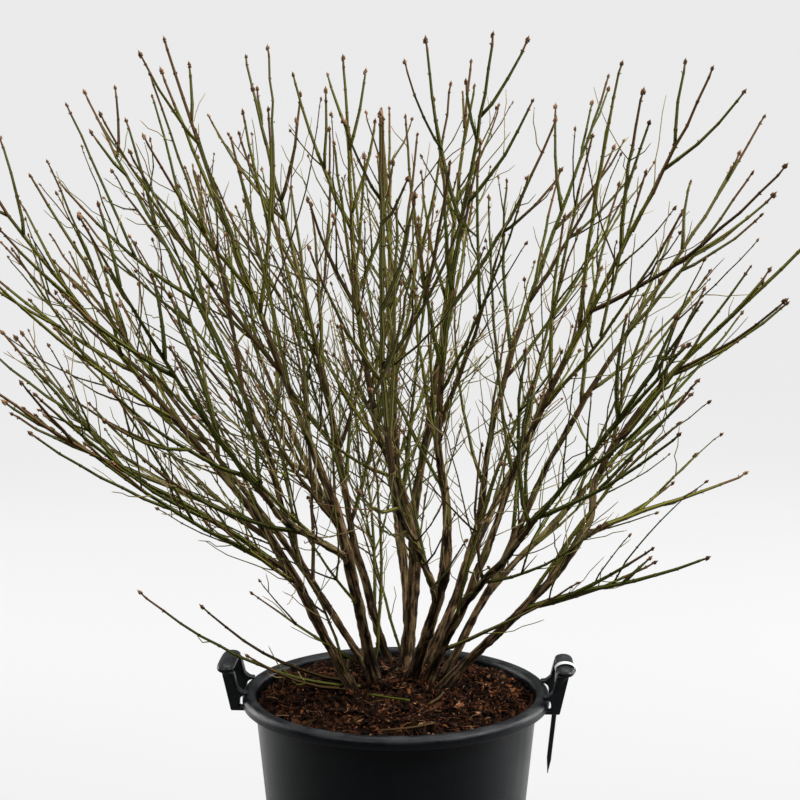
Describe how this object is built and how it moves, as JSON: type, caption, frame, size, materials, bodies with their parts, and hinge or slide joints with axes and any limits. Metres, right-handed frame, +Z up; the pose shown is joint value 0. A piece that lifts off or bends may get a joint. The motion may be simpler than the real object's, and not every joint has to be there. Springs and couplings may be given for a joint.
{
  "type": "potted dwarf burning bush",
  "caption": "Leafless dwarf burning bush in a dark plastic nursery tub with lifting handles: brown stems fan up from a low stool in bark chips into a broad broom of olive-green twigs.",
  "frame": {"origin": "The middle of the tub's flat underside, on the surface that the tub stands on.", "axes": "+Z up. +X close to the right-hand handle, that carries the label strap. -Y faces the viewer. Millimetres in the source, metres in the row."},
  "size_m": [1.0129, 1.0301, 1.0622],
  "materials": {
    "tub_plastic": "satin dark blue-grey moulded plastic with fine scuffs and dust",
    "strap_plastic": "thin milky flexible plastic",
    "potting_bark": "shredded moist bark, dark red-brown with lighter orange-brown flakes",
    "stem_bark": "rough fissured brown-grey bark, greener higher up",
    "shoot_wood": "olive-green young bark",
    "twig": "olive-green young bark with brown corky ridges, redder at the tips"
  },
  "bodies": {
    "root": {"tub": "tub_plastic", "handle_right": "tub_plastic", "handle_left": "tub_plastic", "label_strap": "strap_plastic", "potting_bark": "potting_bark", "stool": "stem_bark", "stem_01": "stem_bark", "stem_02": "stem_bark", "stem_03": "stem_bark", "stem_04": "stem_bark", "stem_05": "stem_bark", "stem_06": "stem_bark", "stem_07": "stem_bark", "stem_08": "stem_bark", "stem_09": "stem_bark", "stem_10": "stem_bark", "stem_11": "stem_bark", "twigs_01_1": "twig", "twigs_01_2": "twig", "twigs_01_3": "twig", "twigs_02_1": "twig", "bough_02_2": "stem_bark", "twigs_02_2": "twig", "twigs_03_1": "twig", "bough_03_2": "stem_bark", "twigs_03_2": "twig", "twigs_04_1": "twig", "bough_04_2": "stem_bark", "twigs_04_2": "twig", "twigs_05_1": "twig", "bough_05_2": "stem_bark", "twigs_05_2": "twig", "twigs_06_1": "twig", "bough_06_2": "stem_bark", "twigs_06_2": "twig", "twigs_07_1": "twig", "bough_07_2": "stem_bark", "twigs_07_2": "twig", "twigs_08_1": "twig", "bough_08_2": "stem_bark", "twigs_08_2": "twig", "twigs_09_1": "twig", "bough_09_2": "stem_bark", "twigs_09_2": "twig", "twigs_10_1": "twig", "twigs_10_2": "twig", "twigs_10_3": "twig", "twigs_11_1": "twig", "bough_11_2": "stem_bark", "twigs_11_2": "twig", "low_shoot_1": "shoot_wood", "low_shoot_2": "shoot_wood", "low_shoot_3": "shoot_wood"}
  },
  "joints": []
}
